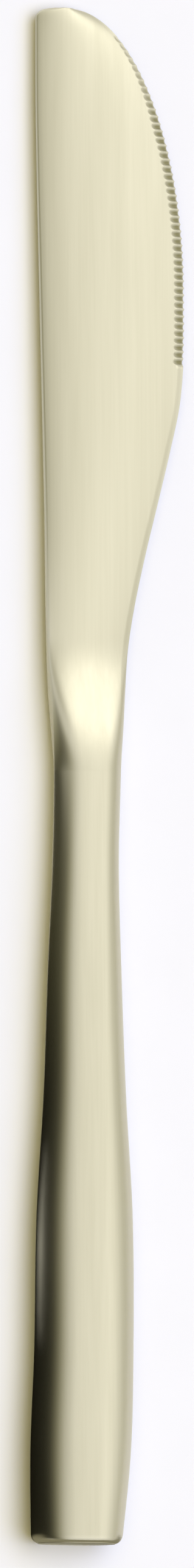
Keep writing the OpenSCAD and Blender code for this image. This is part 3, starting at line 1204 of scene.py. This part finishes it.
    def build(self, steel: bpy.types.Material) -> bpy.types.Object:
        """Build the blade and grind its serration.

        Args:
            steel: Finish of the blade.

        Returns:
            The blade.
        """
        shoulder = self.outline.shoulder_y
        tang_places = np.linspace(shoulder - self.tang_length, shoulder, self.tang_rings)
        tang = [self._tang_ring(y) for y in tang_places]
        rings, gaps = zip(*(self._ring(y) for y in self._stations()))
        points = np.array(tang + list(rings))
        count, size = points.shape[:2]
        faces = ring_faces(count, size, closed=False)
        faces += [list(range(size)), list(range((count - 1) * size, count * size))]
        blade = solid_object("serrated_blade", self.placement.metres(points), faces)
        gap = np.concatenate([np.ones((len(tang), size)), np.array(gaps) * MM])
        upper = np.tile(np.arange(size) < size / 2, (count, 1))
        point_attribute(blade, "edge_gap", gap)
        point_attribute(blade, "upper", upper.astype(float))
        point_attribute(blade, "wear", self._wear(points, gap / MM))
        self.serration.grind(blade, self.placement, steel)
        return blade

    def _wear(self, points: np.ndarray, gap: np.ndarray) -> np.ndarray:
        """Let the spine's corners and the last of the edge wear."""
        from_spine = points[..., 0] - self.outline.spine_x(points[..., 1])
        return np.clip(1 - np.minimum(from_spine, gap) / (2 * self.spine_round), 0, 1)

    def dress(self, steel: bpy.types.Material) -> None:
        """Build the blade and give it its finish."""
        hand_in(self.build(steel), steel, Slot.STEEL, "blade")


@dataclass(frozen=True)
class TangCement:
    """Cement around the tang, which keeps its CAD solid inside the closed handle.

    Attributes:
        finish: The cement's surface.
    """

    finish: CastCement = CastCement()

    def dress(self) -> None:
        """Give the CAD solid its finish."""
        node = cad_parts["tang_cement"]
        node.data.materials.clear()
        node.data.materials.append(self.finish.build())
        LOG.info("%s: kept from the frame, with a new finish", node.name)


@dataclass(frozen=True)
class Card:
    """Self-lit card that only metal mirrors, a painted reflection that darkens or lightens a side of the
    knife and not the floor.

    Attributes:
        name: Name of the card.
        finish: Its surface.
        folds: Its two ends and the folds between them, each as a line of points, in metres.
    """

    name: str
    finish: StudioSurface
    folds: tuple[tuple[tuple[float, float, float], ...], ...]

    def build(self) -> None:
        """Hang the card."""
        card = stage_sheet(self.name, self.folds, self.finish.build())
        card.visible_camera = card.visible_diffuse = card.visible_shadow = False


@dataclass(frozen=True)
class Glow:
    """How the cove brightens at one place along the knife, from the floor up its arch.

    Attributes:
        y: The place along the knife, in metres.
        floor: Brightness of the floor part.
        foot: Brightness at the foot of the arch.
        top: Brightness that the arch tends to.
        bend: How late the arch brightens: 1 is about half way up, and higher is nearer the top.
        full_angle: Angle over the horizon at which it would reach the top brightness, in degrees.
        floor_angle: Angle under the horizon from which the floor part has its own brightness, in degrees.
    """

    y: float
    floor: float
    foot: float
    top: float
    bend: float
    full_angle: float = 110.0
    floor_angle: float = 20.0

    def at(self, angle: float) -> float:
        """Look up the cove at an angle.

        Args:
            angle: Angle over the horizon in degrees.

        Returns:
            The brightness there.
        """
        if angle < 0:
            return float(mix(self.foot, self.floor, min(-angle / self.floor_angle, 1)))
        return float(mix(self.foot, self.top, ease(angle / self.full_angle) ** self.bend))


@dataclass(frozen=True)
class Cove:
    """Glowing cove on the spine's side that only metal mirrors, a painted reflection: dark on the floor and
    paler towards the top.

    It runs over the floor, away from the knife, and then up in an arch. Each place on it is given by the
    angle over the horizon at which the knife's spine side sees it.

    Attributes:
        name: Name of the cove.
        dusk: Its colour where it is darkest.
        pale_from: Brightness from which its colour is white.
        edge: The spine side's place across and height, in metres.
        reach: Distance from there to the arch, in metres.
        lift: Height of its floor part over the floor, in metres.
        lean: How far the cove runs towards the tip with distance, as the mirrored view does.
        angles: Angles of its folds, in degrees.
        glows: How it brightens, from butt to tip: darkest beside the handle, pale beside the blade.
    """

    name: str = "spine_side_cove"
    dusk: str = "#FFF9B8"
    pale_from: float = 0.8
    edge: tuple[float, float] = (-0.008, 0.005)
    reach: float = 0.08
    lift: float = 0.0001
    lean: float = 0.16
    angles: tuple[float, ...] = (-60, -35, -20, -10, 0, 15, 30, 45, 60, 75, 90, 96, 101)
    glows: tuple[Glow, ...] = (
        Glow(-0.2, 0.004, 0.006, 1.05, 2.6),
        Glow(-0.08, 0.004, 0.006, 1.05, 2.6),
        Glow(-0.05, 0.006, 0.01, 1.1, 2.5),
        Glow(-0.02, 0.05, 0.07, 1.1, 1.4),
        Glow(-0.001, 0.03, 0.04, 1.1, 2.1),
        Glow(0.009, 0.65, 1.0, 1.2, 2.2),
        Glow(0.022, 0.7, 0.85, 1.2, 8.0),
        Glow(0.035, 0.7, 0.4, 1.2, 22.0),
        Glow(0.155, 0.7, 0.4, 1.2, 22.0),
    )

    def _place(self, angle: float, y: float) -> tuple[float, float, float]:
        """Find the place on the cove that is seen at an angle.

        Args:
            angle: Angle over the horizon in degrees.
            y: Place along the knife in metres.

        Returns:
            The place in metres.
        """
        x, z = self.edge
        turn = math.radians(angle)
        away = self.reach if angle >= 0 else min(z / math.tan(-turn), self.reach)
        height = self.reach * math.sin(turn) + z if angle > 0 else self.lift
        across = away * math.cos(turn) if angle > 0 else away
        return x - across, y + self.lean * away, height

    def build(self) -> None:
        """Stand the cove up."""
        folds = [[self._place(angle, glow.y) for angle in self.angles] for glow in self.glows]
        cove = stage_sheet(self.name, folds, self._finish())
        bright = [[glow.at(angle) for angle in self.angles] for glow in self.glows]
        point_attribute(cove, "glow", np.array(bright))
        cove.visible_camera = cove.visible_diffuse = cove.visible_shadow = False

    def _finish(self) -> bpy.types.Material:
        """Make its glowing surface, a painted reflection, which warms where it is dark.

        Returns:
            The material.
        """
        material, tree = new_material("painted_reflection_cove")
        glow = add_node(tree, "ShaderNodeAttribute", {"attribute_name": "glow"}).outputs["Fac"]
        lit = add_node(tree, "ShaderNodeMath", {"operation": "DIVIDE", "use_clamp": True},
                       {0: glow, 1: self.pale_from})
        colour = add_node(tree, "ShaderNodeMix", {"data_type": "RGBA"}, {
            0: lit.outputs[0], 6: linear(self.dusk), 7: (1, 1, 1, 1)}).outputs[2]
        shader = add_node(tree, "ShaderNodeEmission", {}, {"Color": colour, "Strength": glow})
        add_node(tree, "ShaderNodeOutputMaterial", {}, {"Surface": shader.outputs[0]})
        return material


@dataclass(frozen=True)
class SoftPanel:
    """Soft lamp that faces the knife.

    Attributes:
        name: Name of the lamp.
        place: Its middle, in metres.
        length: Length along the knife in metres.
        width: Width in metres.
        power: Its power in watts.
        for_metal: Whether only metal mirrors it, so that the floor stays evenly lit.
    """

    name: str
    place: Vector
    length: float
    width: float
    power: float
    for_metal: bool = False

    def build(self) -> None:
        """Hang the lamp."""
        lamp = bpy.data.lights.new(self.name, "AREA")
        lamp.shape, lamp.energy = "RECTANGLE", self.power
        lamp.size, lamp.size_y = self.length, self.width
        panel = bpy.data.objects.new(self.name, lamp)
        turn = self.place.to_track_quat("Z", "Y").to_matrix().to_4x4()
        panel.matrix_world = Matrix.Translation(self.place) @ turn
        panel.visible_diffuse = not self.for_metal
        bpy.context.scene.collection.objects.link(panel)


@dataclass(frozen=True)
class SoftSun:
    """Far soft lamp, which lights the floor and casts the knife's shadow but isn't mirrored in it.

    Attributes:
        name: Name of the lamp.
        turn: Direction it stands in, from +X round towards +Y, in radians.
        height: Angle over the floor in radians.
        spread: Angle that it fills in the sky, in radians.
        strength: Its strength.
        colour: Colour of its light.
    """

    name: str
    turn: float
    height: float
    spread: float
    strength: float
    colour: str

    def build(self) -> None:
        """Hang the lamp."""
        lamp = bpy.data.lights.new(self.name, "SUN")
        lamp.energy, lamp.angle, lamp.color = self.strength, self.spread, linear(self.colour)[:3]
        sun = bpy.data.objects.new(self.name, lamp)
        level = math.cos(self.height)
        back = Vector((level * math.cos(self.turn), level * math.sin(self.turn), math.sin(self.height)))
        sun.matrix_world = back.to_track_quat("Z", "Y").to_matrix().to_4x4()
        sun.visible_glossy = False
        bpy.context.scene.collection.objects.link(sun)


def stage_sheet(name: str, folds: Sequence[Sequence[Sequence[float]]],
                finish: bpy.types.Material) -> bpy.types.Object:
    """Lay out a sheet of the studio.

    Args:
        name: Name of the sheet.
        folds: Lines of points across the sheet, each with as many points as the others, in metres.
        finish: Its material.

    Returns:
        The sheet, staged.
    """
    across = len(folds[0])
    faces = [(i * across + j, i * across + j + 1, (i + 1) * across + j + 1, (i + 1) * across + j)
             for i in range(len(folds) - 1) for j in range(across - 1)]
    mesh = bpy.data.meshes.new(name)
    mesh.from_pydata([point for fold in folds for point in fold], [], faces)
    mesh.materials.append(finish)
    sheet = bpy.data.objects.new(name, mesh)
    bpy.context.scene.collection.objects.link(sheet)
    return sheet


@dataclass(frozen=True)
class Studio:
    """Pale floor, soft lamps, and a cove and cards for the metal to mirror, in metres.

    Lamps and the world stay at a plain level, at which white paper renders as white. A cool sun on the
    edge's side and a warm one overhead are white together, so the knife's shadow is warm.

    Attributes:
        floor_size: Side of the floor.
        suns: Lamps that light the floor.
        fill: Strength of the light from all round.
        fill_colour: Colour of that light.
        floor: Surface of the floor.
        cove: What the spine's side mirrors.
        cards: Self-lit painted reflections: a dark one that the butt mirrors, a pale one that the edge's
            side mirrors, and a small white strip, a painted highlight that shows as a sliver of light low on
            the handle.
        panels: Lamps that the faces mirror.
    """

    floor_size: float = 60.0
    suns: tuple[SoftSun, ...] = (
        SoftSun("cool_side_sun", math.radians(8), math.radians(66), math.radians(76), 2.295, "#98B0FF"),
        SoftSun("warm_top_sun", math.radians(188), math.radians(88), math.radians(70), 1.505, "#FFF2A0"),
    )
    fill: float = 0.29
    fill_colour: str = "#FFF3C4"
    floor: StudioSurface = StudioSurface("white_paper_floor", "#FAF9FA", "#F7F6F7")
    cove: Cove = Cove()
    cards: tuple[Card, ...] = (
        # Grey self-lit card on the floor behind the butt, mirrored in its end as painted shade
        Card("butt_card", StudioSurface("grey_card", "#97937F", "#908C78", True), tuple(
            ((x, -0.1155, 0.0006), (x, -0.16, 0.0006), (x, -0.165, 0.06)) for x in (-0.05, 0.05))),
        Card("far_card", StudioSurface("pale_card", "#DDDCD2", "#D7D6CC", True), tuple(
            ((0.3, y, 0.0), (0.3, y, top)) for y, top in (
                (-0.6, 0.16), (-0.05, 0.17), (0.01, 0.38), (0.05, 0.38), (0.1, 0.16), (0.6, 0.16)))),
        # Glowing white strip, a painted highlight mirrored as a sliver of light low on the handle
        Card("painted_sliver_strip", StudioSurface("white_paper", "#FFFFFF", "#F8F8F8", True), tuple(
            ((near, y, 0.0004), (far, y, 0.0004)) for near, far, y in (
                (-0.0235, -0.0245, -0.084), (-0.0205, -0.030, -0.070), (-0.0235, -0.0245, -0.054)))),
    )
    panels: tuple[SoftPanel, ...] = (
        SoftPanel("side_panel", Vector((0.26, 0.03, 0.52)), 0.5, 0.2, 0.18),
        SoftPanel("tip_panel", Vector((0.55, 0.75, 1.2)), 0.36, 0.36, 1.15, for_metal=True),
    )

    def build(self) -> None:
        """Set up the floor, the cards, the lamps and the world."""
        half = self.floor_size / 2
        stage_sheet("floor", (((-half, -half, 0), (half, -half, 0)), ((-half, half, 0), (half, half, 0))),
                    self.floor.build())
        for thing in (self.cove, *self.cards, *self.panels, *self.suns):
            thing.build()
        self._world()

    def _world(self) -> None:
        """Surround the knife with white for the eye and for metal, and with a plain fill for the rest."""
        world = bpy.data.worlds.new("studio_world")
        world.use_nodes = True
        tree = world.node_tree
        tree.nodes.clear()
        path = add_node(tree, "ShaderNodeLightPath").outputs
        seen = add_node(tree, "ShaderNodeMath", {"operation": "MAXIMUM"},
                        {0: path["Is Camera Ray"], 1: path["Is Glossy Ray"]}).outputs[0]
        shown = add_node(tree, "ShaderNodeMath", {"operation": "MAXIMUM"},
                         {0: seen, 1: path["Is Transmission Ray"]}).outputs[0]
        strength = add_node(tree, "ShaderNodeMapRange", {}, {
            "Value": shown, "To Min": self.fill, "To Max": 1.0}).outputs[0]
        colour = add_node(tree, "ShaderNodeMix", {"data_type": "RGBA"}, {
            0: shown, 6: linear(self.fill_colour), 7: (1, 1, 1, 1)}).outputs[2]
        light = add_node(tree, "ShaderNodeBackground", {}, {"Color": colour, "Strength": strength})
        add_node(tree, "ShaderNodeOutputWorld", {}, {"Surface": light.outputs[0]})
        bpy.context.scene.world = world
        bpy.context.scene.view_settings.view_transform = "Standard"


@dataclass(frozen=True)
class ProductCamera:
    """Camera over the knife, tilted towards the spine and a little towards the butt.

    Attributes:
        spine_tilt: Tilt from straight above towards the spine's side.
        butt_tilt: Tilt from straight above towards the butt.
        distance: Distance from the middle of the picture, in metres.
        picture_height: Length that the picture's long side shows, in metres.
        target: Middle of the picture, in metres.
    """

    spine_tilt: float = math.radians(19)
    butt_tilt: float = math.radians(8)
    distance: float = 1.3
    picture_height: float = 0.23229
    target: Vector = Vector((-0.0020, -0.0026, 0.004))

    def build(self) -> None:
        """Make the camera and let the scene use it."""
        lens = bpy.data.cameras.new("product_camera")
        lens.lens = lens.sensor_width * self.distance / self.picture_height
        camera = bpy.data.objects.new("product_camera", lens)
        back = Vector((-math.sin(self.spine_tilt) * math.cos(self.butt_tilt), -math.sin(self.butt_tilt),
                       math.cos(self.spine_tilt) * math.cos(self.butt_tilt)))
        right = Vector((0, 1, 0)).cross(back).normalized()
        up = back.cross(right)
        turn = Matrix((right, up, back)).transposed().to_4x4()
        camera.matrix_world = Matrix.Translation(self.target + back * self.distance) @ turn
        bpy.context.scene.collection.objects.link(camera)
        bpy.context.scene.camera = camera


def main() -> None:
    """Build the knife's pieces in order, then the studio and the camera."""
    logging.basicConfig(level=logging.INFO, format="%(name)s: %(message)s")
    steel = SatinSteel().build()
    outline = Outline.from_frame()
    placement = Placement.from_frame(outline)
    Handle(outline, placement).dress(steel)
    Blade(outline, placement).dress(steel)
    TangCement().dress()
    Studio().build()
    ProductCamera().build()


if __name__ == "__main__":
    main()
